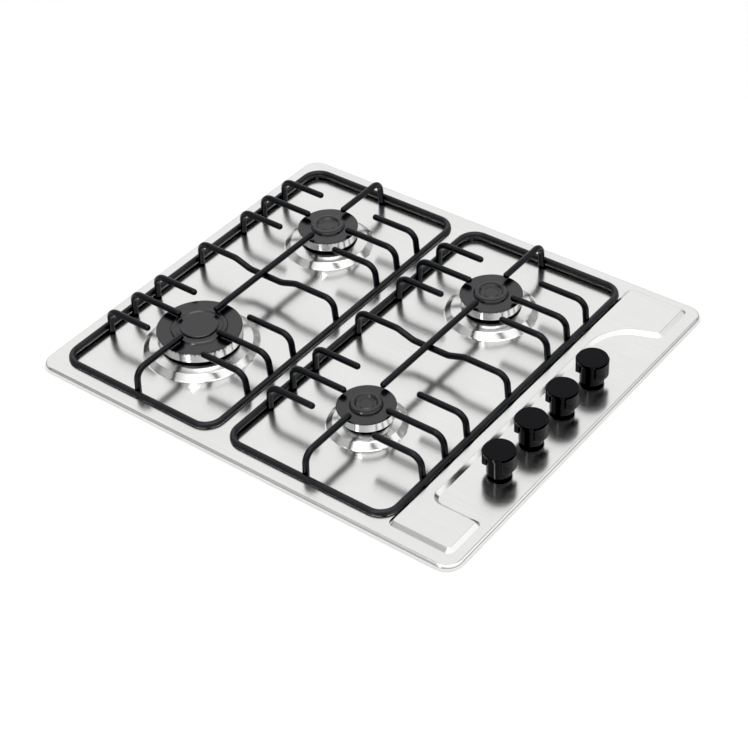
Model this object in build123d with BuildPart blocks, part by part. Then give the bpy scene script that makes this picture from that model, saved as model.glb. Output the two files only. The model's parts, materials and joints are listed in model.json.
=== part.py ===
from build123d import *
import os
from math import sin, cos, radians, pi

os.makedirs("parts", exist_ok=True)

# ---------------------------------------------------------------------------
# Four-burner built-in gas cooktop, 580 x 504 mm.
# z = 0 is the worktop: the underside of the plate's folded rim rests on it.
# X runs from the user's left to right, -Y is the edge nearest the user.
# ---------------------------------------------------------------------------

# pressed top plate
W, D, H = 580.0, 504.0, 6.0      # width, depth, height of the flat field above the worktop
T = 0.8                          # sheet thickness
RC = 20.0                        # corner radius in plan
RE = 4.0                         # rolled edge radius
HEM = 7.0                        # width of the folded-in rim

# control plateau
PH = 3.5                         # its height above the flat field
PB = 4.8                         # width of its sloping border

# wells: the shallow pressed pans that the supports stand in
WZ = 2.0                         # their floor, above the worktop
WELL_OUT, WELL_IN = 3.5, 1.5     # their edge and the foot of their wall, outside the bar's centre line

# pan supports
XL, XR = -158.0, 82.5            # centre lines of the left and right support
YC = 0.0                         # centre of both supports
BY = 118.3                       # burner centres lie this far in front of and behind YC
FRAMES = {XL: (-158.9, 110.0), XR: (82.6, 108.4)}   # middle and half width of each frame bar's centre line
FYC, HLY = 0.5, 229.5            # its middle and half length along Y
FR_D, FR_R, FR_Z = 7.4, 21.0, 7.8   # frame bar diameter, corner radius, height
FG_D, FG_Z, FG_R = 7.6, 35.0, 13.0   # finger bar diameter, height, bend radius
LEGX, LEGY = 102.0, 222.0        # where the legs start down, from the centre lines
LEAN = 2.2                       # the legs lean out this much at the foot
LEG_Z = 4.5                      # lower end of the legs
TIP_L, TIP_S = 27.5, 39.0        # finger tips from the burner centre, long and short
NOSE = 3.8                       # the rounded ends
PITCH = 40.0                     # spacing of the three side fingers
DIP, DIP_HALF, DIP_OUT = 7.4, 24.0, 46.0   # the cross bar dips under the long bar

# burners: name, x, y, spreader foot radius, cap radius, neck radius, crest and foot radius of the pressed ring
YF, YR = YC - BY, YC + BY
BURNERS = [
    ("fl", XL, YF, 50.0, 49.6, 48.2, 59.9, 67.5),
    ("fr", XR, YF, 31.8, 33.1, 28.2, 38.4, 45.7),
    ("rl", XL, YR, 35.8, 36.6, 34.6, 47.1, 54.7),
    ("rr", XR, YR, 35.8, 36.6, 34.6, 47.1, 54.7),
]
Z_CREST = 8.2                    # fold of the pressed ring around a burner
Z_LIP = 11.3                     # its inner edge, where the shoulder meets the burner's neck
Z_RIM = 17.1                     # rim of the burner cup, seat of the spreader
Z_CAP = 27.5                     # top of the spreader, seat of the cap

# controls
KX = 247.4
KY = [-106.2, -46.2, 13.8, 73.8]
K_TOP, K_BOT = 39.6, 9.0         # top and bottom of a knob
K_R, K_NECK = 17.6, 13.9         # top disc and neck radius
EAR_R, EAR_BOT, EAR_W = 18.6, 18.5, 1.11   # radius, lower end and side slope of the two grips
PUSH = 2.5                       # the knob pushes in this far

# burner box
BX, BYW = 270.0, 232.0           # half width and half depth of the box walls
BZ = -50.0                       # underside of the box floor
RAIL_Z = -33.0                   # top of the burner rails, foot of the cups
GAS_Z, GAS_R = -29.0, 6.0        # gas rail axis height and radius
PIPE_R = 3.0


# ---------------------------------------------------------------------------
# top plate
# ---------------------------------------------------------------------------
with BuildPart() as plate_hollow:
    with BuildSketch(Plane.XY.offset(T)):
        RectangleRounded(W - 2 * T, D - 2 * T, RC - T)
    extrude(amount=H - 2 * T)
    fillet(plate_hollow.edges().group_by(Axis.Z)[-1], RE - T)
    with BuildSketch(Plane.XY.offset(-1)):
        RectangleRounded(W - 2 * HEM, D - 2 * HEM, RC - HEM)
    extrude(amount=H - 1)


def well_block(xc, z0, z1, grow):
    """Tapered block in the shape of a well between two heights, its sides moved out by grow."""
    out = lambda z: WELL_IN + (WELL_OUT - WELL_IN) * (z - WZ) / (H - WZ) + grow
    fx, hw = FRAMES[xc]
    with BuildPart() as block:
        for z in (z0, z1):
            with BuildSketch(Plane.XY.offset(z)):
                with Locations((fx, FYC)):
                    RectangleRounded(2 * (hw + out(z)), 2 * (HLY + out(z)), FR_R + out(z))
        loft(ruled=True)
        fillet(block.edges().group_by(Axis.Z)[0], 1.0 + grow)
    return block.part


def plateau_plan(z, inset):
    """Plan of the raised control plateau at height z, its outline moved in by inset."""
    i = inset
    xl, yf, xr1 = 194.9 + i, -233.2 + i, 275.4 - i          # left, front, right of the front pad
    yk = -177.8 - i                                         # rear edge of the front pad
    xs = 216.2 - i                                          # right side of the narrow strip
    xr2, yr = 272.4 - i, 240.4 - i                          # right and rear of the rear pad
    cx, cy, ra, a = 266.2, 124.0, 50.0 + i, radians(111)    # sweep into the rear pad
    px, py = cx + ra * cos(a), cy + ra * sin(a)
    qy = py - cos(a) * (xr2 - px) / sin(a)
    with BuildSketch(Plane.XY.offset(z)) as plan:
        with BuildLine():
            Polyline((xl, yf), (xr1, yf), (xr1, yk), (xs, yk), (xs, cy))
            ThreePointArc((xs, cy), (cx + ra * cos(radians(145)), cy + ra * sin(radians(145))), (px, py))
            Polyline((px, py), (xr2, qy), (xr2, yr), (xl, yr), (xl, yf))
        make_face()
        fillet([v for v in plan.vertices() if abs(v.Y - yk) < 0.1 and v.X < 230], 9.0 + i)
        fillet([v for v in plan.vertices() if v.Y < yf + 0.1 or v.Y > yr - 0.1], 7.5 - i)
        fillet([v for v in plan.vertices() if v.X > xr2 - 0.1 and (abs(v.Y - yk) < 0.1 or abs(v.Y - qy) < 0.1)], 6.0 - i)
    return plan.sketch


with BuildPart() as plateau:
    add(plateau_plan(H, 0.0))
    add(plateau_plan(H + PH, PB))
    loft(ruled=True)
    top_edges = plateau.edges().group_by(Axis.Z)[-1]
    fillet(top_edges, 1.6)

with BuildPart() as plateau_hollow:
    add(plateau_plan(H - T - 0.1, 0.2))
    add(plateau_plan(H + PH - T, PB + 0.3))
    loft(ruled=True)

STUDS = [(sx * 274.5, sy * 150.0) for sx in (-1, 1) for sy in (-1, 1)] + [(sx * 140.0, sy * 235.7) for sx in (-1, 1) for sy in (-1, 1)]

with BuildPart() as hollow_less_wells:
    add(plate_hollow.part)
    for xc in (XL, XR):
        add(well_block(xc, WZ - T, H + 1, 0.9), mode=Mode.SUBTRACT)
plate_space = hollow_less_wells.part

with BuildPart() as top_plate:
    with BuildSketch():
        RectangleRounded(W, D, RC)
    extrude(amount=H)
    fillet(top_plate.edges().group_by(Axis.Z)[-1], RE)
    for xc in (XL, XR):
        add(well_block(xc, WZ, H + 1, 0.0), mode=Mode.SUBTRACT)
    rims = [e for e in top_plate.edges() if abs(e.center().Z - H) < 0.01 and abs(e.center().Y - FYC) < HLY + 5 and min(abs(e.center().X - XL), abs(e.center().X - XR)) < 116]
    fillet(rims, 0.8)
    add(plateau.part)
    for name, bx, by, rs, rc, rn, ra, ro in BURNERS:
        with BuildSketch(Plane(origin=(bx, by, 0), x_dir=(1, 0, 0), z_dir=(0, -1, 0))) as ring:
            Polygon((0, WZ - 0.5), (ro, WZ - 0.5), (ro, WZ), (ra, Z_CREST), (rn, Z_LIP), (0, Z_LIP), align=None)
            fillet([v for v in ring.vertices() if abs(v.X - ra) < 0.01 and abs(v.Y - Z_CREST) < 0.01], 1.4)
        revolve(axis=Axis((bx, by, 0), (0, 0, 1)))
    feet = [e for e in top_plate.edges().filter_by(GeomType.CIRCLE) if abs(e.center().Z - WZ) < 0.01 and e.radius > 40 and e.length > 200]
    fillet(feet, 3.0)
    add(plate_space, mode=Mode.SUBTRACT)
    add(plateau_hollow.part, mode=Mode.SUBTRACT)
    for name, bx, by, rs, rc, rn, ra, ro in BURNERS:
        with BuildSketch(Plane(origin=(bx, by, 0), x_dir=(1, 0, 0), z_dir=(0, -1, 0))):
            Polygon((0, WZ - T - 0.1), (ro - 0.3, WZ - T - 0.1), (ra - 0.3, Z_CREST - T), (rn, Z_LIP - T), (0, Z_LIP - T), align=None)
        revolve(axis=Axis((bx, by, 0), (0, 0, 1)), mode=Mode.SUBTRACT)
        with BuildSketch(Plane.XY.offset(WZ - 1)):
            with Locations((bx, by)):
                Circle(rn + 0.6)
        extrude(amount=12, mode=Mode.SUBTRACT)
    with BuildSketch(Plane.XY.offset(2)):
        with Locations(*[(KX, y) for y in KY]):
            Circle(7.0)
    extrude(amount=6, mode=Mode.SUBTRACT)
    with BuildSketch(Plane.XY.offset(-4.4)):
        with Locations(*STUDS):
            Circle(2.0)
    extrude(amount=H - T + 4.4)


# ---------------------------------------------------------------------------
# burner box: pressed tray that hangs through the worktop and closes the underside
# ---------------------------------------------------------------------------
INLET_Y = 163.0
CLAMPS = [(sx * 150.0, sy) for sx in (-1, 1) for sy in (-1, 1)]

with BuildPart() as tray_hollow:
    with BuildSketch(Plane.XY.offset(BZ + T)):
        RectangleRounded(2 * BX - 2 * T, 2 * BYW - 2 * T, 9.2)
    extrude(amount=-BZ - T + H)
    fillet(tray_hollow.edges().group_by(Axis.Z)[0], 3.2)

with BuildPart() as burner_box:
    with BuildSketch(Plane.XY.offset(BZ)):
        RectangleRounded(2 * BX, 2 * BYW, 10)
    extrude(amount=-BZ + WZ - 2 * T)
    fillet(burner_box.edges().group_by(Axis.Z)[0], 4.0)
    with BuildSketch(Plane.XY.offset(WZ - 2 * T)):
        RectangleRounded(2 * BX + 18, 2 * BYW + 14.4, 16)
    extrude(amount=T)
    add(tray_hollow.part, mode=Mode.SUBTRACT)
    with BuildSketch(Plane.XY.offset(WZ - 2 * T - 0.5)):
        with Locations(*STUDS):
            Circle(2.2)
    extrude(amount=2, mode=Mode.SUBTRACT)
    with BuildSketch(Plane.XY.offset(BZ - 1)):
        with Locations((KX, INLET_Y)):
            Circle(18.0)
        with Locations((XL, 0), (XR, 0), (-35, -150), (-35, 150)):
            with GridLocations(52, 12, 1, 5):
                SlotOverall(44, 4)
    extrude(amount=3, mode=Mode.SUBTRACT)
    with BuildSketch(Plane.XZ):
        with Locations(*[(sx * 150.0, -20.0) for sx in (-1, 1)]):
            Circle(2.0)
    extrude(amount=BYW + 5, both=True, mode=Mode.SUBTRACT)

with BuildPart() as rim_seal:
    with BuildSketch(Plane.XY.offset(0.2)):
        RectangleRounded(565.2, 489.2, 12.6)
        RectangleRounded(559.2, 483.2, 9.6, mode=Mode.SUBTRACT)
    extrude(amount=H - T - 0.2)

with BuildPart() as box_nuts:
    with BuildSketch(Plane.XY.offset(WZ - 2 * T - 3.0)):
        with Locations(*STUDS):
            RegularPolygon(radius=3.5, side_count=6, major_radius=False)
            Circle(2.0, mode=Mode.SUBTRACT)
    extrude(amount=3.0)

with BuildPart() as fixing_clamps:
    for sy in (-1, 1):
        with BuildSketch(Plane(origin=(0, 0, 0), x_dir=(0, 1, 0), z_dir=(1, 0, 0)).offset(-160)):
            y0 = sy * BYW
            Polygon((y0, -12), (y0, -40), (y0 + sy * 16, -40), (y0 + sy * 18, -36), (y0 + sy * 16.6, -35.4), (y0 + sy * 15.1, -38.5), (y0 + sy * 1.5, -38.5), (y0 + sy * 1.5, -12), align=None)
        extrude(amount=20)
        with BuildSketch(Plane(origin=(0, 0, 0), x_dir=(0, 1, 0), z_dir=(1, 0, 0)).offset(140)):
            Polygon((y0, -12), (y0, -40), (y0 + sy * 16, -40), (y0 + sy * 18, -36), (y0 + sy * 16.6, -35.4), (y0 + sy * 15.1, -38.5), (y0 + sy * 1.5, -38.5), (y0 + sy * 1.5, -12), align=None)
        extrude(amount=20)
    with BuildSketch(Plane.XZ):
        with Locations(*[(sx * 150.0, -20.0) for sx in (-1, 1)]):
            SlotOverall(10, 4.4, rotation=90)
    extrude(amount=BYW + 25, both=True, mode=Mode.SUBTRACT)

with BuildPart() as clamp_screws:
    for sy in (-1, 1):
        for sx in (-1, 1):
            out = Plane(origin=(sx * 150.0, sy * (BYW + 1.5), -20.0), x_dir=(1, 0, 0), z_dir=(0, sy, 0))
            with BuildSketch(out):
                RegularPolygon(radius=3.5, side_count=6, major_radius=False)
            extrude(amount=2.8)
            with BuildSketch(out.offset(-9)):
                Circle(2.0)
            extrude(amount=9)


# ---------------------------------------------------------------------------
# burner rails, cups and their screws
# ---------------------------------------------------------------------------
with BuildPart() as burner_rails:
    for x in (XL, XR):
        with BuildSketch(Plane.XZ.offset(-210)):
            Polygon((x - 36, BZ + T), (x - 23, BZ + T), (x - 23, RAIL_Z - 1), (x + 23, RAIL_Z - 1), (x + 23, BZ + T), (x + 36, BZ + T), (x + 36, BZ + T + 1), (x + 24, BZ + T + 1), (x + 24, RAIL_Z), (x - 24, RAIL_Z), (x - 24, BZ + T + 1), (x - 36, BZ + T + 1), align=None)
        extrude(amount=420)
        with BuildSketch(Plane.XY.offset(RAIL_Z - 2)):
            with Locations(*[(x, y + s * 12) for y in (YF, YR) for s in (-1, 1)]):
                Circle(2.2)
        extrude(amount=3, mode=Mode.SUBTRACT)

PIPE_Z = -27.5
for name, bx, by, rs, rc, rn, ra, ro in BURNERS:
    with BuildPart() as burner_cup:
        with BuildSketch(Plane(origin=(bx, by, 0), x_dir=(1, 0, 0), z_dir=(0, -1, 0))):
            Polygon((0, RAIL_Z), (18, RAIL_Z), (18, -25), (rn, -10), (rn, Z_RIM), (rn - 3.5, Z_RIM), (rn - 3.5, -8.5), (14, -22), (0, -22), align=None)
        revolve(axis=Axis((bx, by, 0), (0, 0, 1)))
        with BuildSketch(Plane.YZ.offset(bx + 12)):
            with Locations((by, PIPE_Z)):
                Circle(5.0)
        extrude(amount=22)
        with BuildSketch(Plane.YZ.offset(bx)):
            with Locations((by, PIPE_Z)):
                Circle(2.0)
        extrude(amount=40, mode=Mode.SUBTRACT)
        with BuildSketch(Plane.XY.offset(-30)):
            with Locations((bx, by)):
                Circle(3.0)
        extrude(amount=20, mode=Mode.SUBTRACT)
        with BuildSketch(Plane.XY.offset(RAIL_Z)):
            with Locations((bx, by - 12), (bx, by + 12)):
                Circle(2.0)
        extrude(amount=7, mode=Mode.SUBTRACT)
    burner_cup.part.label = "burner_cup_" + name
    export_step(burner_cup.part, "parts/burner_cup_" + name + ".step")

with BuildPart() as cup_screws:
    with BuildSketch(Plane.XY.offset(RAIL_Z - 1)):
        with Locations(*[(x, y + s * 12) for x in (XL, XR) for y in (YF, YR) for s in (-1, 1)]):
            RegularPolygon(radius=3.5, side_count=6, major_radius=False)
    extrude(amount=-2.8)
    with BuildSketch(Plane.XY.offset(RAIL_Z - 1)):
        with Locations(*[(x, y + s * 12) for x in (XL, XR) for y in (YF, YR) for s in (-1, 1)]):
            Circle(2.0)
    extrude(amount=7)

with BuildPart() as injectors:
    for name, bx, by, rs, rc, rn, ra, ro in BURNERS:
        with BuildSketch(Plane.XY.offset(-30)):
            with Locations((bx, by)):
                Circle(3.0)
        extrude(amount=8)
        with BuildSketch(Plane.XY.offset(-22)):
            with Locations((bx, by)):
                RegularPolygon(radius=3.6, side_count=6, major_radius=False)
        extrude(amount=4)
        with BuildSketch(Plane.XY.offset(-18)):
            with Locations((bx, by)):
                Circle(2.4)
        extrude(amount=2)
        with BuildSketch(Plane.XY.offset(-30)):
            with Locations((bx, by)):
                Circle(1.5)
        extrude(amount=12, mode=Mode.SUBTRACT)
        with BuildSketch(Plane.XY.offset(-19)):
            with Locations((bx, by)):
                Circle(0.45)
        extrude(amount=4, mode=Mode.SUBTRACT)
        with BuildSketch(Plane.YZ.offset(bx)):
            with Locations((by, PIPE_Z)):
                Circle(1.4)
        extrude(amount=6, mode=Mode.SUBTRACT)


# ---------------------------------------------------------------------------
# flame spreaders and burner caps
# ---------------------------------------------------------------------------
PORTS = {"fl": 66, "fr": 42, "rl": 48, "rr": 48}
for name, bx, by, rs, rc, rn, ra, ro in BURNERS:
    axis = Axis((bx, by, 0), (0, 0, 1))
    section = Plane(origin=(bx, by, 0), x_dir=(1, 0, 0), z_dir=(0, -1, 0))
    rv = 10.0 if name == "fl" else 7.5
    with BuildPart() as flame_spreader:
        with BuildSketch(section):
            Polygon((rv, -6), (rv + 1.8, -6), (rv + 1.8, Z_RIM), (rs, Z_RIM), (rs - 0.9, Z_CAP), (rs - 5, Z_CAP), (rs - 5, Z_RIM + 2.2), (rv + 4, Z_RIM + 2.2), (rv, Z_RIM + 3.2), align=None)
        revolve(axis=axis)
        with BuildSketch(Plane(origin=(bx, by, Z_CAP - 1.5))):
            with PolarLocations(rs - 2.5, PORTS[name]):
                Rectangle(9, 1.3)
        extrude(amount=5, mode=Mode.SUBTRACT)
    flame_spreader.part.label = "flame_spreader_" + name
    export_step(flame_spreader.part, "parts/flame_spreader_" + name + ".step")

    if name == "fl":
        crown = [(20.8, 31.6), (21.8, 31.2), (22.4, 29.7), (26.6, 29.6), (28.2, 30.6), (30.6, 30.7), (31.8, 30.2), (33.2, 28.8)]
        crest = 31.6
    else:
        q = rc / 33.1
        crown = [(7.6 * q, 30.3), (8.8 * q, 29.8), (11.0 * q, 29.8), (13.2 * q, 31.8), (14.8 * q, 32.2), (16.6 * q, 31.8), (18.0 * q, 30.4), (18.8 * q, 28.8)]
        crest = 30.3
    with BuildPart() as burner_cap:
        with BuildSketch(section) as cap_section:
            Polygon((0, crest), *crown, (rc - 1.6, 28.9), (rc - 0.4, 28.75), (rc, 28.35), (rc - 0.2, 27.8), (rc - 1.0, Z_CAP), (rs - 5.5, Z_CAP), (rs - 5.5, Z_CAP - 2.5), (rs - 8.0, Z_CAP - 2.5), (rs - 9.0, Z_CAP), (0, Z_CAP), align=None)
        revolve(axis=axis)
    burner_cap.part.label = "burner_cap_" + name
    export_step(burner_cap.part, "parts/burner_cap_" + name + ".step")


# ---------------------------------------------------------------------------
# pan supports: a closed bar frame with welded fingers, on four rubber feet
# ---------------------------------------------------------------------------
def bar(points, radius):
    """Round bar along a run of straight pieces with equal bends."""
    with BuildPart() as rod:
        with BuildLine() as path:
            FilletPolyline(*points, radius=radius)
        with BuildSketch(Plane(origin=path.line @ 0, z_dir=path.line % 0)):
            Circle(FG_D / 2)
        sweep()
    return rod.part


def ball(x, y):
    """Rounded end of a finger."""
    with BuildPart() as end:
        with Locations((x, y, FG_Z)):
            Sphere(FG_D / 2)
    return end.part


for side_name, xc in (("left", XL), ("right", XR)):
    fx, hw = FRAMES[xc]
    with BuildPart() as frame_bar:
        with BuildLine() as path:
            FilletPolyline((fx, FYC - HLY, FR_Z), (fx + hw, FYC - HLY, FR_Z), (fx + hw, FYC + HLY, FR_Z), (fx, FYC + HLY, FR_Z), radius=FR_R)
        with BuildSketch(Plane(origin=path.line @ 0, z_dir=path.line % 0)):
            Circle(FR_D / 2)
        sweep()
        mirror(about=Plane.YZ.offset(fx))
    frame_bar.part.label = "support_" + side_name + "_frame"

    with BuildPart() as fingers:
        for s in (-1, 1):
            for by in (YF, YR):
                for k in (-1, 0, 1):
                    y, tip = by + k * PITCH, TIP_L if k == 0 else TIP_S
                    add(bar([(xc + s * (LEGX + LEAN), y, LEG_Z), (xc + s * LEGX, y, FG_Z), (xc + s * (tip + NOSE), y, FG_Z)], FG_R))
                    add(ball(xc + s * (tip + NOSE), y))
            y_end = YC + s * LEGY
            tip = YC + s * (BY + TIP_L + NOSE)
            add(bar([(xc, y_end + s * LEAN, LEG_Z), (xc, y_end, FG_Z), (xc, tip, FG_Z)], FG_R))
            add(ball(xc, tip))
        add(frame_bar.part, mode=Mode.SUBTRACT)

    low = FG_Z - DIP
    with BuildPart() as cross_bars:
        with BuildLine() as path:
            FilletPolyline((xc - LEGX - LEAN, YC, LEG_Z), (xc - LEGX, YC, FG_Z), (xc - DIP_OUT, YC, FG_Z), (xc - DIP_HALF, YC, low), (xc + DIP_HALF, YC, low), (xc + DIP_OUT, YC, FG_Z), (xc + LEGX, YC, FG_Z), (xc + LEGX + LEAN, YC, LEG_Z), radius=[FG_R, 20, 20, 20, 20, FG_R])
        with BuildSketch(Plane(origin=path.line @ 0, z_dir=path.line % 0)):
            Circle(FG_D / 2)
        sweep()
        y1, y2 = YF + TIP_L + NOSE, YR - TIP_L - NOSE
        with BuildSketch(Plane.XZ.offset(-y2)):
            with Locations((xc, FG_Z)):
                Circle(FG_D / 2)
        extrude(amount=y2 - y1)
        add(ball(xc, y1))
        add(ball(xc, y2))
        add(frame_bar.part, mode=Mode.SUBTRACT)

    with BuildPart() as bars:
        add(fingers.part)
        add(cross_bars.part)
    bars.part.label = "support_" + side_name + "_fingers"

    with BuildPart() as feet:
        c = (FR_R - 1.8) * cos(radians(45))
        with BuildSketch(Plane.XY.offset(WZ)):
            with Locations(*[(fx + sx * (hw - FR_R + c), FYC + sy * (HLY - FR_R + c)) for sx in (-1, 1) for sy in (-1, 1)]):
                Circle(2.6)
        extrude(amount=5.4)
        add(frame_bar.part, mode=Mode.SUBTRACT)
    feet.part.label = "support_" + side_name + "_feet"
    for piece in (frame_bar, bars, feet):
        export_step(piece.part, "parts/" + piece.part.label + ".step")


# ---------------------------------------------------------------------------
# gas rail with its inlet, taps, pipes
# ---------------------------------------------------------------------------
RAIL_Y0, RAIL_Y1 = -128.0, 158.0
with BuildPart() as gas_rail:
    with BuildSketch(Plane.XZ.offset(-RAIL_Y1)):
        with Locations((KX, GAS_Z)):
            Circle(GAS_R)
    extrude(amount=RAIL_Y1 - RAIL_Y0)
    with BuildSketch(Plane.XZ.offset(-RAIL_Y1)):
        with Locations((KX, GAS_Z)):
            Circle(4.5)
    extrude(amount=RAIL_Y1 - RAIL_Y0 - 3, mode=Mode.SUBTRACT)
    with BuildSketch(Plane.XY.offset(GAS_Z)):
        with Locations(*[(KX, y) for y in KY]):
            Circle(1.8)
    extrude(amount=8, mode=Mode.SUBTRACT)

with BuildPart() as inlet_elbow:
    with BuildSketch(Plane.XY.offset(-34.5)):
        with Locations((KX, INLET_Y)):
            RegularPolygon(radius=12.0, side_count=6, major_radius=False)
    extrude(amount=13)
    with BuildSketch(Plane.XZ.offset(-(INLET_Y - 1))):
        with Locations((KX, GAS_Z)):
            Circle(8.5)
    extrude(amount=INLET_Y - 1 - 147.0)
    with BuildSketch(Plane.XY.offset(-49.5)):
        with Locations((KX, INLET_Y)):
            Circle(10.48)
    extrude(amount=10)
    with BuildSketch(Plane.XY.offset(-39.5)):
        with Locations((KX, INLET_Y)):
            Circle(9.2)
    extrude(amount=5)
    with BuildSketch(Plane.XY.offset(-50)):
        with Locations((KX, INLET_Y)):
            Circle(7.0)
    extrude(amount=24, mode=Mode.SUBTRACT)
    with BuildSketch(Plane.XZ.offset(-RAIL_Y1)):
        with Locations((KX, GAS_Z)):
            Circle(GAS_R)
    extrude(amount=20, mode=Mode.SUBTRACT)
    with BuildSketch(Plane.XZ.offset(-INLET_Y)):
        with Locations((KX, GAS_Z)):
            Circle(4.5)
    extrude(amount=20, mode=Mode.SUBTRACT)

OUT_Z = -16.5
TAP_SCREWS = [(12.8, -9.0), (-12.8, 9.0)]
with BuildPart() as tap_clamps:
    for y in KY:
        with BuildSketch(Plane.XZ.offset(-(y + 12))):
            with Locations((KX, 0)):
                Polygon((-17, BZ + T), (-15, BZ + T), (-15, -36.5), (15, -36.5), (15, BZ + T), (17, BZ + T), (17, -29.5), (-17, -29.5), align=None)
            with Locations((KX, GAS_Z)):
                Circle(GAS_R, mode=Mode.SUBTRACT)
        extrude(amount=24)
        with BuildSketch(Plane.XY.offset(-38)):
            with Locations(*[(KX + a, y + b) for a, b in TAP_SCREWS]):
                Circle(2.0)
        extrude(amount=12, mode=Mode.SUBTRACT)

with BuildPart() as tap_clamp_screws:
    with BuildSketch(Plane.XY.offset(-22)):
        with Locations(*[(KX + a, y + b) for y in KY for a, b in TAP_SCREWS]):
            Circle(3.0)
    extrude(amount=2.2)
    with BuildSketch(Plane.XY.offset(-37)):
        with Locations(*[(KX + a, y + b) for y in KY for a, b in TAP_SCREWS]):
            Circle(2.0)
    extrude(amount=15)

with BuildPart() as tap_bonnets:
    with BuildSketch(Plane.XY.offset(-2.5)):
        with Locations(*[(KX, y) for y in KY]):
            Circle(11.0)
            Circle(4.25, mode=Mode.SUBTRACT)
        with Locations(*[(KX, y + s * 8.5) for y in KY for s in (-1, 1)]):
            Circle(1.6, mode=Mode.SUBTRACT)
    extrude(amount=1.8)

with BuildPart() as bonnet_screws:
    with BuildSketch(Plane.XY.offset(-0.7)):
        with Locations(*[(KX, y + s * 8.5) for y in KY for s in (-1, 1)]):
            Circle(2.4)
    extrude(amount=1.6)
    with BuildSketch(Plane.XY.offset(-8.0)):
        with Locations(*[(KX, y + s * 8.5) for y in KY for s in (-1, 1)]):
            Circle(1.3)
    extrude(amount=7.3)

with BuildPart() as shaft_seals:
    with BuildSketch(Plane.XY.offset(H - 1.6)):
        with Locations(*[(KX, y) for y in KY]):
            Circle(6.9)
    extrude(amount=1.6)
    with BuildSketch(Plane.XY.offset(H)):
        with Locations(*[(KX, y) for y in KY]):
            Circle(9.5)
    extrude(amount=1.1)
    with BuildSketch(Plane.XY.offset(H - 3)):
        with Locations(*[(KX, y) for y in KY]):
            Circle(4.3)
    extrude(amount=6, mode=Mode.SUBTRACT)

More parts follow.
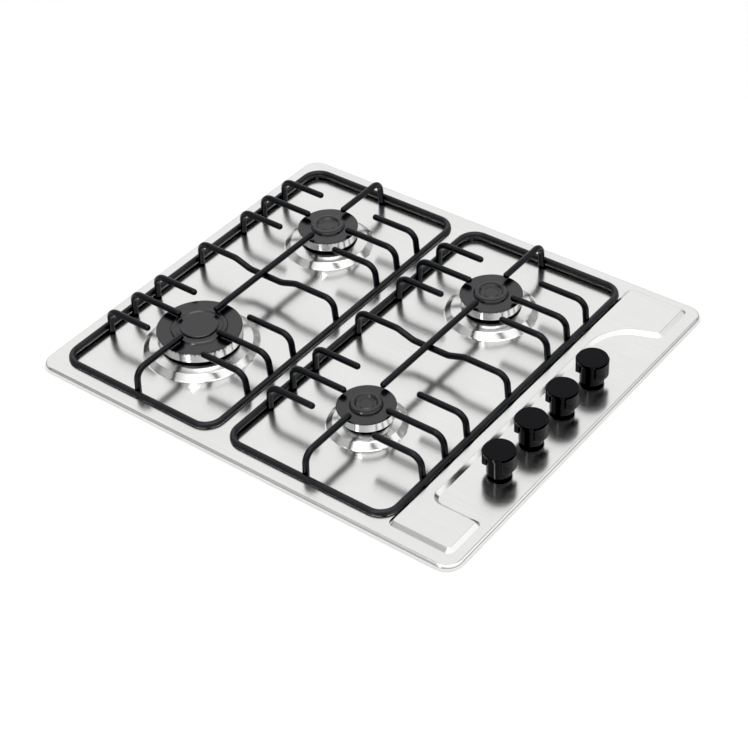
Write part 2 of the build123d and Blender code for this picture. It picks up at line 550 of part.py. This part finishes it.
for n, y in enumerate(KY, 1):
    with BuildPart() as tap_body:
        with BuildSketch(Plane.XY.offset(-27)):
            with Locations((KX, y)):
                RectangleRounded(34, 24, 3)
        extrude(amount=5)
        with BuildSketch(Plane.XY.offset(-22)):
            with Locations((KX, y)):
                Circle(11.0)
        extrude(amount=19.5)
        with BuildSketch(Plane.YZ.offset(KX)):
            with Locations((y, OUT_Z)):
                Circle(4.0)
        extrude(amount=-18)
        with BuildSketch(Plane.XY.offset(-19.5)):
            with Locations((KX, y)):
                Circle(6.0)
        extrude(amount=30, mode=Mode.SUBTRACT)
        with BuildSketch(Plane.YZ.offset(KX)):
            with Locations((y, OUT_Z)):
                Circle(2.0)
        extrude(amount=-30, mode=Mode.SUBTRACT)
        with BuildSketch(Plane.XZ.offset(-(y + 20))):
            with Locations((KX, GAS_Z)):
                Circle(GAS_R)
        extrude(amount=40, mode=Mode.SUBTRACT)
        with BuildSketch(Plane.XY.offset(-30)):
            with Locations((KX, y)):
                Circle(1.8)
            with Locations(*[(KX + a, y + b) for a, b in TAP_SCREWS]):
                Circle(2.2)
        extrude(amount=12, mode=Mode.SUBTRACT)
        with BuildSketch(Plane.XY.offset(-9.0)):
            with Locations((KX, y - 8.5), (KX, y + 8.5)):
                Circle(1.3)
        extrude(amount=10, mode=Mode.SUBTRACT)

    with BuildPart() as tap_plug:
        with BuildSketch(Plane.XY.offset(-19.4)):
            with Locations((KX, y)):
                Circle(5.95)
        extrude(amount=9.9)
        with BuildSketch(Plane.XY.offset(-14.4)):
            with Locations((KX, y)):
                Rectangle(4.3, 4.3)
        extrude(amount=6, mode=Mode.SUBTRACT)
        with BuildSketch(Plane.XY.offset(-20)):
            with Locations((KX, y)):
                Circle(1.6)
        extrude(amount=4.2, mode=Mode.SUBTRACT)
        with BuildSketch(Plane.XZ.offset(-(y - 0.0))):
            with Locations((KX, OUT_Z)):
                Circle(1.2)
        extrude(amount=-10, mode=Mode.SUBTRACT)

    with BuildPart() as tap_stem:
        with BuildSketch(Plane.XY.offset(-11.8)):
            with Locations((KX, y)):
                Rectangle(4.1, 4.1)
        extrude(amount=5)
        with BuildSketch(Plane.XY.offset(-6.8)):
            with Locations((KX, y)):
                Circle(3.2)
        extrude(amount=3.2)
        with BuildSketch(Plane.XY.offset(-3.7)):
            with Locations((KX, y)):
                Circle(5.3)
        extrude(amount=1.2)
        with BuildSketch(Plane.XY.offset(-2.6)):
            with Locations((KX, y)):
                Circle(4.0)
        extrude(amount=14.6)
        with BuildSketch(Plane.XY.offset(12.0)):
            with Locations((KX, y)):
                Circle(4.0)
            with Locations((KX, y + 4.0)):
                Rectangle(9, 2.4, mode=Mode.SUBTRACT)
        extrude(amount=17.0)

    with BuildPart() as tap_spring:
        with BuildLine() as coil:
            Helix(pitch=1.45, height=5.0, radius=4.6, center=(KX, y, -9.1))
        with BuildSketch(Plane(origin=coil.line @ 0, z_dir=coil.line % 0)):
            Circle(0.35)
        sweep(is_frenet=True)

    with BuildPart() as ears:
        with BuildSketch(Plane.XY.offset(EAR_BOT)):
            with Locations((KX, y)):
                Circle(EAR_R)
                Polygon((0, 0), (30, 30 * EAR_W), (-30, 30 * EAR_W), align=None, mode=Mode.SUBTRACT)
                Polygon((0, 0), (-30, -30 * EAR_W), (30, -30 * EAR_W), align=None, mode=Mode.SUBTRACT)
        extrude(amount=K_TOP - 2.2 - EAR_BOT)
        with BuildSketch(Plane.YZ):
            with Locations((y, (K_TOP + EAR_BOT) / 2 + 5)):
                RectangleRounded(28.2, K_TOP - EAR_BOT + 10, 8.0)
        extrude(amount=KX + 30, mode=Mode.INTERSECT)
        fillet([e for e in ears.edges() if (Vector(e.center().X - KX, e.center().Y - y, 0)).length > K_NECK + 1.5 and e.center().Z < K_TOP - 3], 1.1)

    with BuildPart() as knob:
        with BuildSketch(Plane.XY.offset(K_BOT)):
            with Locations((KX, y)):
                Circle(K_NECK)
        extrude(amount=K_TOP - K_BOT - 1)
        chamfer(knob.edges().group_by(Axis.Z)[0], 0.5)
        add(ears.part)
        with BuildSketch(Plane.XY.offset(K_TOP - 3.4)):
            with Locations((KX, y)):
                Circle(K_R)
        extrude(amount=3.4)
        fillet(knob.edges().group_by(Axis.Z)[-1], 0.9)
        with BuildSketch(Plane.XY.offset(K_BOT)):
            with Locations((KX, y)):
                Circle(12.6)
        extrude(amount=3.0, mode=Mode.SUBTRACT)
        with BuildSketch(Plane.XY.offset(K_BOT + 3.0)):
            with Locations((KX, y)):
                Circle(12.6)
                Circle(6.6, mode=Mode.SUBTRACT)
        extrude(amount=20.0, mode=Mode.SUBTRACT)
        with BuildSketch(Plane.XY.offset(K_BOT)):
            with Locations((KX, y)):
                Circle(4.0)
            with Locations((KX, y + 4.0)):
                Rectangle(9, 2.4, mode=Mode.SUBTRACT)
        extrude(amount=20.0, mode=Mode.SUBTRACT)

    for piece, label in ((tap_body, "tap_body_"), (tap_plug, "tap_plug_"), (tap_stem, "tap_stem_"), (tap_spring, "tap_spring_"), (knob, "knob_")):
        piece.part.label = label + str(n)
        export_step(piece.part, "parts/" + label + str(n) + ".step")

# feed pipes: tap 1 front right, 2 front left, 3 rear left, 4 rear right
ROUTES = {
    "fr": (KY[0], XR, YF, 172.0, 148.0),
    "fl": (KY[1], XL, YF, 20.0, -60.0),
    "rl": (KY[2], XL, YR, 20.0, -60.0),
    "rr": (KY[3], XR, YR, 182.0, 146.0),
}
TAP_END, CUP_END = KX - 18.0, 34.0
with BuildPart() as pipe_nuts:
    for name, (yk, bx, by, xa, xb) in ROUTES.items():
        with BuildSketch(Plane.YZ.offset(TAP_END + 5)):
            with Locations((yk, OUT_Z)):
                RegularPolygon(radius=5.4, side_count=6, major_radius=False)
        extrude(amount=-9)
        with BuildSketch(Plane.YZ.offset(TAP_END + 5)):
            with Locations((yk, OUT_Z)):
                Circle(4.0)
        extrude(amount=-5, mode=Mode.SUBTRACT)
        with BuildSketch(Plane.YZ.offset(bx + CUP_END - 5)):
            with Locations((by, PIPE_Z)):
                RegularPolygon(radius=6.5, side_count=6, major_radius=False, rotation=90)
        extrude(amount=9)
        with BuildSketch(Plane.YZ.offset(bx + CUP_END - 5)):
            with Locations((by, PIPE_Z)):
                Circle(5.0)
        extrude(amount=5, mode=Mode.SUBTRACT)
        with BuildSketch(Plane.YZ.offset(TAP_END - 6)):
            with Locations((yk, OUT_Z)):
                Circle(PIPE_R)
        extrude(amount=8, mode=Mode.SUBTRACT)
        with BuildSketch(Plane.YZ.offset(bx + CUP_END - 1)):
            with Locations((by, PIPE_Z)):
                Circle(PIPE_R)
        extrude(amount=8, mode=Mode.SUBTRACT)

for name, (yk, bx, by, xa, xb) in ROUTES.items():
    with BuildPart() as feed_pipe:
        with BuildLine() as path:
            FilletPolyline((TAP_END, yk, OUT_Z), (TAP_END - 18, yk, OUT_Z), (TAP_END - 36, yk, PIPE_Z), (xa, yk, PIPE_Z), (xb, by, PIPE_Z), (bx + CUP_END, by, PIPE_Z), radius=14)
        with BuildSketch(Plane(origin=path.line @ 0, z_dir=path.line % 0)):
            Circle(PIPE_R)
            Circle(PIPE_R - 1, mode=Mode.SUBTRACT)
        sweep()
    feed_pipe.part.label = "feed_pipe_" + name
    export_step(feed_pipe.part, "parts/feed_pipe_" + name + ".step")

for piece, label in (
    (top_plate, "top_plate"), (burner_box, "burner_box"), (rim_seal, "rim_seal"), (box_nuts, "box_nuts"),
    (fixing_clamps, "fixing_clamps"), (clamp_screws, "clamp_screws"), (burner_rails, "burner_rails"),
    (cup_screws, "cup_screws"), (injectors, "injectors"), (gas_rail, "gas_rail"), (inlet_elbow, "inlet_elbow"),
    (tap_clamps, "tap_clamps"), (tap_clamp_screws, "tap_clamp_screws"), (tap_bonnets, "tap_bonnets"),
    (bonnet_screws, "bonnet_screws"), (shaft_seals, "shaft_seals"), (pipe_nuts, "pipe_nuts"),
):
    piece.part.label = label
    export_step(piece.part, "parts/" + label + ".step")
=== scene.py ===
import json
import math

import bpy
from mathutils import Matrix, Vector

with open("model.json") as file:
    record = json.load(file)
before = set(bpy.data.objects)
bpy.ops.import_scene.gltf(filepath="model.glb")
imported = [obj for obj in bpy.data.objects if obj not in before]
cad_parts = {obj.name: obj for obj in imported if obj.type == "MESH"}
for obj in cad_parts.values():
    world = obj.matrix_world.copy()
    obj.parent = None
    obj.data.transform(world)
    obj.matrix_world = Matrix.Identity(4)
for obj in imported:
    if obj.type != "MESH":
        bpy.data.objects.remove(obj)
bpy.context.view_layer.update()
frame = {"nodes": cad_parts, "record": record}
nodes = frame["nodes"]
scene = bpy.context.scene
BURNERS = ("fl", "fr", "rl", "rr")

# ---------------------------------------------------------------- look of the picture
scene.view_settings.view_transform = "Standard"
scene.view_settings.look = "None"
scene.view_settings.exposure = 0.0
scene.view_settings.gamma = 1.0
scene.view_settings.use_curve_mapping = True
scene.view_settings.curve_mapping.black_level = (0.008, 0.008, 0.008)


# ---------------------------------------------------------------- node helpers
class Tree:
    """Short calls for building one node tree."""

    def __init__(self, tree):
        self.t = tree
        self.x = 0

    def n(self, kind, **props):
        node = self.t.nodes.new(kind)
        self.x += 40
        node.location = (self.x, 0)
        for k, v in props.items():
            setattr(node, k, v)
        return node

    def link(self, a, b):
        self.t.links.new(a, b)

    def value(self, sock, v):
        if hasattr(v, "is_output"):
            self.link(v, sock)
        else:
            sock.default_value = v

    def math(self, op, a, b=0.0, c=0.0, clamp=False):
        m = self.n("ShaderNodeMath", operation=op, use_clamp=clamp)
        for s, v in zip(m.inputs, (a, b, c)):
            self.value(s, v)
        return m.outputs[0]

    def coords(self):
        """Position on the piece in metres, which rides with it."""
        return self.n("ShaderNodeTexCoord").outputs["Object"]

    def xyz(self, vec):
        s = self.n("ShaderNodeSeparateXYZ")
        self.link(vec, s.inputs[0])
        return s.outputs

    def combine(self, x, y, z):
        c = self.n("ShaderNodeCombineXYZ")
        for s, v in zip(c.inputs, (x, y, z)):
            self.value(s, v)
        return c.outputs[0]

    def mapping(self, vec, scale=(1, 1, 1), rot=(0, 0, 0), loc=(0, 0, 0)):
        m = self.n("ShaderNodeMapping")
        self.link(vec, m.inputs["Vector"])
        m.inputs["Scale"].default_value = scale
        m.inputs["Rotation"].default_value = rot
        m.inputs["Location"].default_value = loc
        return m.outputs[0]

    def noise(self, vec, scale, detail=3.0, rough=0.5, out="Fac", distortion=0.0):
        t = self.n("ShaderNodeTexNoise")
        self.link(vec, t.inputs["Vector"])
        t.inputs["Scale"].default_value = scale
        t.inputs["Detail"].default_value = detail
        t.inputs["Roughness"].default_value = rough
        t.inputs["Distortion"].default_value = distortion
        return t.outputs[out]

    def ramp(self, fac, stops, interpolation="LINEAR"):
        r = self.n("ShaderNodeValToRGB")
        r.color_ramp.interpolation = interpolation
        el = r.color_ramp.elements
        while len(el) < len(stops):
            el.new(0.5)
        for e, (pos, col) in zip(el, stops):
            e.position = pos
            e.color = col if len(col) == 4 else (*col, 1.0)
        self.link(fac, r.inputs[0])
        return r.outputs[0]

    def span(self, v, a, b, lo=0.0, hi=1.0):
        m = self.n("ShaderNodeMapRange", clamp=True)
        self.value(m.inputs["Value"], v)
        m.inputs["From Min"].default_value = a
        m.inputs["From Max"].default_value = b
        m.inputs["To Min"].default_value = lo
        m.inputs["To Max"].default_value = hi
        return m.outputs[0]

    def mix(self, fac, a, b, blend="MIX"):
        m = self.n("ShaderNodeMix", data_type="RGBA", blend_type=blend)
        self.value(m.inputs[0], fac)
        self.value(m.inputs[6], a if hasattr(a, "is_output") else (*a, 1.0))
        self.value(m.inputs[7], b if hasattr(b, "is_output") else (*b, 1.0))
        return m.outputs[2]

    def dot(self, vec, d):
        v = self.n("ShaderNodeVectorMath", operation="DOT_PRODUCT")
        self.link(vec, v.inputs[0])
        v.inputs[1].default_value = d
        return v.outputs["Value"]

    def bump(self, height, strength, distance, normal=None):
        b = self.n("ShaderNodeBump")
        b.inputs["Strength"].default_value = strength
        b.inputs["Distance"].default_value = distance
        self.link(height, b.inputs["Height"])
        if normal is not None:
            self.link(normal, b.inputs["Normal"])
        return b.outputs[0]


def material(name):
    m = bpy.data.materials.new(name)
    m.use_nodes = True
    t = Tree(m.node_tree)
    m.node_tree.nodes.clear()
    out = t.n("ShaderNodeOutputMaterial")
    p = t.n("ShaderNodeBsdfPrincipled")
    t.link(p.outputs[0], out.inputs["Surface"])
    return m, t, p


def const(p, **kw):
    for k, v in kw.items():
        sock = p.inputs[k.replace("_", " ")]
        sock.default_value = (*v, 1.0) if isinstance(v, tuple) and len(v) == 3 else v


# ---------------------------------------------------------------- materials
def plate_steel():
    """Satin stainless sheet: fine brushing along the width, faint cloudiness."""
    m, t, p = material("plate_steel")
    const(p, Metallic=1.0, Anisotropic=0.5)
    t.link(t.combine(0.0, 1.0, 0.0), p.inputs["Tangent"])
    c = t.coords()
    long_grain = t.noise(t.mapping(c, scale=(6.0, 900.0, 900.0)), 1.0, 4.0, 0.65)
    fine_grain = t.noise(t.mapping(c, scale=(28.0, 3200.0, 3200.0)), 1.0, 3.0, 0.6)
    cloud = t.noise(c, 9.0, 3.0, 0.5)
    g = t.math("ADD", t.math("MULTIPLY", long_grain, 0.55), t.math("MULTIPLY", fine_grain, 0.45))
    tone = t.math("ADD", t.math("MULTIPLY", g, 0.7), t.math("MULTIPLY", cloud, 0.3))
    t.link(t.ramp(tone, [(0.25, (0.70, 0.70, 0.69)), (0.75, (0.86, 0.86, 0.85))]), p.inputs["Base Color"])
    t.link(t.span(g, 0.3, 0.7, 0.16, 0.23), p.inputs["Roughness"])
    t.link(t.bump(g, 0.08, 0.0002), p.inputs["Normal"])
    return m


def sheet_metal(name, lo, hi, rough, spangle=120.0):
    """Coated sheet: soft mottling with a fine rolled grain."""
    m, t, p = material(name)
    const(p, Metallic=1.0)
    c = t.coords()
    v = t.n("ShaderNodeTexVoronoi")
    t.link(c, v.inputs["Vector"])
    v.inputs["Scale"].default_value = spangle
    grey = t.xyz(v.outputs["Color"])[0]
    grain = t.noise(t.mapping(c, scale=(20.0, 700.0, 700.0)), 1.0, 3.0)
    tone = t.math("ADD", t.math("MULTIPLY", grey, 0.5), t.math("MULTIPLY", grain, 0.5))
    t.link(t.mix(tone, lo, hi), p.inputs["Base Color"])
    t.link(t.span(tone, 0.2, 0.8, rough, rough + 0.12), p.inputs["Roughness"])
    t.link(t.bump(grain, 0.2, 0.0002), p.inputs["Normal"])
    return m


def zinc():
    m, t, p = material("zinc_steel")
    const(p, Metallic=1.0)
    c = t.coords()
    a = t.noise(c, 60.0, 4.0)
    b = t.noise(c, 900.0, 2.0)
    t.link(t.ramp(a, [(0.3, (0.52, 0.53, 0.55)), (0.7, (0.70, 0.70, 0.69))]), p.inputs["Base Color"])
    t.link(t.span(b, 0.3, 0.7, 0.28, 0.40), p.inputs["Roughness"])
    t.link(t.bump(b, 0.15, 0.0002), p.inputs["Normal"])
    return m


def enamel(name, lo, hi, rough, peel=0.35, spec=0.3):
    """Satin enamel: nearly black, with a fine grain."""
    m, t, p = material(name)
    const(p, Metallic=0.0, IOR=1.5, Specular_IOR_Level=spec)
    c = t.coords()
    cloud = t.noise(c, 26.0, 4.0, 0.6)
    grain = t.noise(c, 900.0, 3.0, 0.6)
    waves = t.noise(c, 210.0, 2.0)
    tone = t.math("ADD", t.math("MULTIPLY", cloud, 0.6), t.math("MULTIPLY", grain, 0.4))
    t.link(t.mix(t.span(tone, 0.3, 0.7), lo, hi), p.inputs["Base Color"])
    t.link(t.span(grain, 0.3, 0.7, rough - 0.05, rough + 0.07), p.inputs["Roughness"])
    h = t.math("ADD", t.math("MULTIPLY", waves, 0.7), t.math("MULTIPLY", grain, 0.3))
    t.link(t.bump(h, peel, 0.0002), p.inputs["Normal"])
    return m


def aluminium(name, lo, hi, rough, grain_k=0.3):
    """Turned or cast aluminium with a fine tool grain."""
    m, t, p = material(name)
    const(p, Metallic=1.0)
    c = t.coords()
    cloud = t.noise(c, 55.0, 3.0)
    grain = t.noise(t.mapping(c, scale=(1.0, 1.0, 6.0)), 700.0, 3.0)
    t.link(t.mix(t.span(cloud, 0.3, 0.7), lo, hi), p.inputs["Base Color"])
    t.link(t.span(grain, 0.3, 0.7, rough - 0.04, rough + 0.06), p.inputs["Roughness"])
    t.link(t.bump(grain, grain_k, 0.0002), p.inputs["Normal"])
    return m


def brass():
    m, t, p = material("brass")
    const(p, Metallic=1.0)
    c = t.coords()
    a = t.noise(c, 70.0, 4.0)
    b = t.noise(c, 800.0, 2.0)
    t.link(t.ramp(a, [(0.3, (0.60, 0.42, 0.17)), (0.7, (0.80, 0.62, 0.32))]), p.inputs["Base Color"])
    t.link(t.span(b, 0.3, 0.7, 0.22, 0.34), p.inputs["Roughness"])
    t.link(t.bump(b, 0.15, 0.0002), p.inputs["Normal"])
    return m


def knob_plastic():
    """Gloss black moulding: the flat top is satin, the sides are polished, and the sides get a darker base colour as
    painted shade.
    """
    m, t, p = material("knob_plastic")
    const(p, Metallic=0.0, IOR=1.5)
    c = t.coords()
    z = t.xyz(c)[2]
    top = t.span(z, 0.0388, 0.0394)
    grain = t.noise(c, 1500.0, 2.0)
    cloud = t.noise(c, 60.0, 3.0)
    # painted shade: the sides of the same moulding get a darker base colour than the top face
    side = t.mix(cloud, (0.0005, 0.0005, 0.0012), (0.0012, 0.0012, 0.0020))
    face = t.mix(cloud, (0.0015, 0.0014, 0.0025), (0.0030, 0.0028, 0.0040))
    t.link(t.mix(top, side, face), p.inputs["Base Color"])
    rough_top = t.span(grain, 0.3, 0.7, 0.42, 0.52)
    rough_side = t.span(cloud, 0.3, 0.7, 0.05, 0.09)
    r = t.math("ADD", t.math("MULTIPLY", rough_top, top), t.math("MULTIPLY", rough_side, t.math("SUBTRACT", 1.0, top)))
    t.link(r, p.inputs["Roughness"])
    t.link(t.span(top, 0.0, 1.0, 0.20, 0.14), p.inputs["Specular IOR Level"])
    t.link(t.bump(t.math("MULTIPLY", grain, top), 0.12, 0.0001), p.inputs["Normal"])
    return m


def cup_alloy():
    """Cast cup: bare grey below the plate; where it shows above the plate it is near-black, as painted shade of the
    gap under the spreader.
    """
    m, t, p = material("cup_alloy")
    c = t.coords()
    z = t.xyz(c)[2]
    # painted shade: above the plate the cup turns near-black, not metallic and low in specular
    shaded_neck = t.span(z, -0.004, 0.001)
    cloud = t.noise(c, 55.0, 3.0)
    grain = t.noise(c, 700.0, 3.0)
    bare = t.mix(cloud, (0.34, 0.34, 0.35), (0.46, 0.46, 0.47))
    black = t.mix(cloud, (0.004, 0.004, 0.004), (0.010, 0.010, 0.010))
    t.link(t.mix(shaded_neck, bare, black), p.inputs["Base Color"])
    t.link(t.math("SUBTRACT", 1.0, shaded_neck), p.inputs["Metallic"])
    t.link(t.span(shaded_neck, 0.0, 1.0, 0.5, 0.12), p.inputs["Specular IOR Level"])
    t.link(t.span(grain, 0.3, 0.7, 0.38, 0.50), p.inputs["Roughness"])
    t.link(t.bump(grain, 0.5, 0.0002), p.inputs["Normal"])
    return m


def rubber(name, col, rough):
    m, t, p = material(name)
    const(p, Metallic=0.0, IOR=1.45)
    c = t.coords()
    a = t.noise(c, 300.0, 4.0)
    t.link(t.mix(a, tuple(x * 0.8 for x in col), tuple(x * 1.3 for x in col)), p.inputs["Base Color"])
    t.link(t.span(a, 0.3, 0.7, rough, rough + 0.12), p.inputs["Roughness"])
    t.link(t.bump(a, 0.3, 0.0003), p.inputs["Normal"])
    return m


def spring_steel():
    m, t, p = material("spring_steel")
    const(p, Metallic=1.0)
    c = t.coords()
    a = t.noise(c, 500.0, 3.0)
    t.link(t.mix(a, (0.55, 0.55, 0.56), (0.72, 0.72, 0.72)), p.inputs["Base Color"])
    t.link(t.span(a, 0.3, 0.7, 0.15, 0.26), p.inputs["Roughness"])
    return m


MATS = {
    "plate_steel": plate_steel(),
    "box_steel": sheet_metal("box_steel", (0.55, 0.56, 0.57), (0.74, 0.75, 0.76), 0.36),
    "zinc_steel": zinc(),
    "black_enamel": enamel("black_enamel", (0.003, 0.0035, 0.005), (0.008, 0.009, 0.011), 0.34, 0.45, 0.28),
    "burner_alloy": aluminium("burner_alloy", (0.84, 0.84, 0.84), (0.93, 0.93, 0.93), 0.11, 0.12),
    "cup_alloy": cup_alloy(),
    "pipe_alloy": aluminium("pipe_alloy", (0.70, 0.71, 0.72), (0.82, 0.83, 0.84), 0.28),
    "brass": brass(),
    "spring_steel": spring_steel(),
    "knob_plastic": knob_plastic(),
    "rubber": rubber("rubber", (0.022, 0.022, 0.022), 0.55),
    "foam": rubber("foam", (0.05, 0.05, 0.05), 0.85),
}
CAP = enamel("cap_enamel", (0.006, 0.006, 0.008), (0.010, 0.010, 0.012), 0.21, 0.22, 0.62)
FRAME = enamel("frame_enamel", (0.005, 0.0055, 0.007), (0.013, 0.014, 0.016), 0.34, 0.45, 0.38)

slots = {s["node"]: s["material_slot"] for s in frame["record"]["subparts"]}
for name, obj in nodes.items():
    mat = CAP if name.startswith("burner_cap") else FRAME if name.startswith("support") and name.endswith("_frame") else MATS[slots[name]]
    obj.data.materials.clear()
    obj.data.materials.append(mat)

# ---------------------------------------------------------------- floor: the worktop's plane, cut out under the rim
def floor():
    a, bx, by = 6.0, 0.2815, 0.2435
    v = [(-a, -a, 0), (a, -a, 0), (a, a, 0), (-a, a, 0), (-bx, -by, 0), (bx, -by, 0), (bx, by, 0), (-bx, by, 0)]
    v = [(x, y, -0.0003) for x, y, z in v]
    f = [(0, 1, 5, 4), (1, 2, 6, 5), (2, 3, 7, 6), (3, 0, 4, 7)]
    me = bpy.data.meshes.new("stage_floor")
    me.from_pydata(v, [], f)
    o = bpy.data.objects.new("stage_floor", me)
    scene.collection.objects.link(o)
    m, t, p = material("stage_floor")
    const(p, Base_Color=(0.93, 0.93, 0.93), Roughness=0.9)
    p.inputs["Specular IOR Level"].default_value = 0.0
    me.materials.append(m)
    return o


floor()

# ---------------------------------------------------------------- light
world = bpy.data.worlds.new("studio")
scene.world = world
world.use_nodes = True
wt = Tree(world.node_tree)
world.node_tree.nodes.clear()
wo = wt.n("ShaderNodeOutputWorld")
bg = wt.n("ShaderNodeBackground")
pale = wt.n("ShaderNodeBackground")
both = wt.n("ShaderNodeMixShader")
wt.link(wt.n("ShaderNodeLightPath").outputs["Is Camera Ray"], both.inputs[0])
wt.link(bg.outputs[0], both.inputs[1])
wt.link(pale.outputs[0], both.inputs[2])
wt.link(both.outputs[0], wo.inputs[0])
pale.inputs["Color"].default_value = (0.93, 0.93, 0.93, 1)
gen = wt.n("ShaderNodeTexCoord").outputs["Generated"]
wz = wt.xyz(gen)[2]
# a bright ceiling panel and a softer wall panel with a dark gap between them, over a dim band at the horizon
gap = wt.dot(gen, (0.671, -0.591, 0.447))
ceiling = wt.span(wt.dot(gen, (0.325, 0.070, 0.943)), 0.574, 0.743, 0.0, 0.70)
wall = wt.span(wt.dot(gen, (-0.489, 0.590, 0.642)), 0.60, 0.84, 0.0, 0.49)
open_wall = wt.math("MULTIPLY", wall, wt.span(gap, -0.14, -0.07, 1.0, 0.0))
open_ceiling = wt.math("MULTIPLY", ceiling, wt.span(gap, 0.05, 0.13, 0.0, 1.0))
low = wt.span(wz, 0.08, 0.36, 0.22, 0.55)
below = wt.span(wz, -0.12, -0.02, 0.60, 0.0)
gap_dark = wt.span(wt.math("ABSOLUTE", gap), 0.05, 0.14, 0.45, 1.0)
level = wt.math("ADD", wt.math("ADD", open_wall, open_ceiling), wt.math("ADD", wt.math("MULTIPLY", low, gap_dark), below))
wt.link(wt.combine(level, level, level), bg.inputs["Color"])
bg.inputs["Strength"].default_value = 1.0


def area(name, loc, aim, size, radiance, size_y=None, color=(1, 1, 1)):
    """A soft box of a given size and surface brightness."""
    d = bpy.data.lights.new(name, "AREA")
    d.shape = "RECTANGLE"
    d.size = size
    d.size_y = size_y or size
    d.energy = radiance * math.pi * d.size * d.size_y
    d.color = color
    o = bpy.data.objects.new(name, d)
    scene.collection.objects.link(o)
    o.location = loc
    o.rotation_mode = "QUATERNION"
    o.rotation_quaternion = (Vector(aim) - Vector(loc)).to_track_quat("-Z", "Y")
    return o


area("key", (0.05, -1.62, 1.30), (0.1, 0, 0), 0.16, 13, 0.70)
area("top", (0.1, -0.1, 2.6), (0, 0, 0), 1.4, 2.2)
area("under", (0.3, -0.3, -1.2), (0, 0, 0), 1.5, 0.55)

# ---------------------------------------------------------------- camera, at the photograph's angle
AZ, EL, ROLL = math.radians(39.64), math.radians(39.94), math.radians(-3.57)
TARGET, DIST, F_PX = Vector((0.03631, -0.04631, 0.0)), 2.06403, 1839.0
back = Vector((math.sin(AZ) * math.cos(EL), -math.cos(AZ) * math.cos(EL), math.sin(EL)))
right = Vector((math.cos(AZ), math.sin(AZ), 0.0))
up = back.cross(right)
r2 = math.cos(ROLL) * right + math.sin(ROLL) * up
u2 = -math.sin(ROLL) * right + math.cos(ROLL) * up
cd = bpy.data.cameras.new("camera")
cd.sensor_fit = "HORIZONTAL"
cd.sensor_width = 36.0
cd.lens = F_PX * 36.0 / 748.0
cd.clip_start, cd.clip_end = 0.05, 50.0
cam = bpy.data.objects.new("camera", cd)
scene.collection.objects.link(cam)
m4 = Matrix((r2, u2, back)).transposed().to_4x4()
m4.translation = TARGET + back * DIST
cam.matrix_world = m4
scene.camera = cam
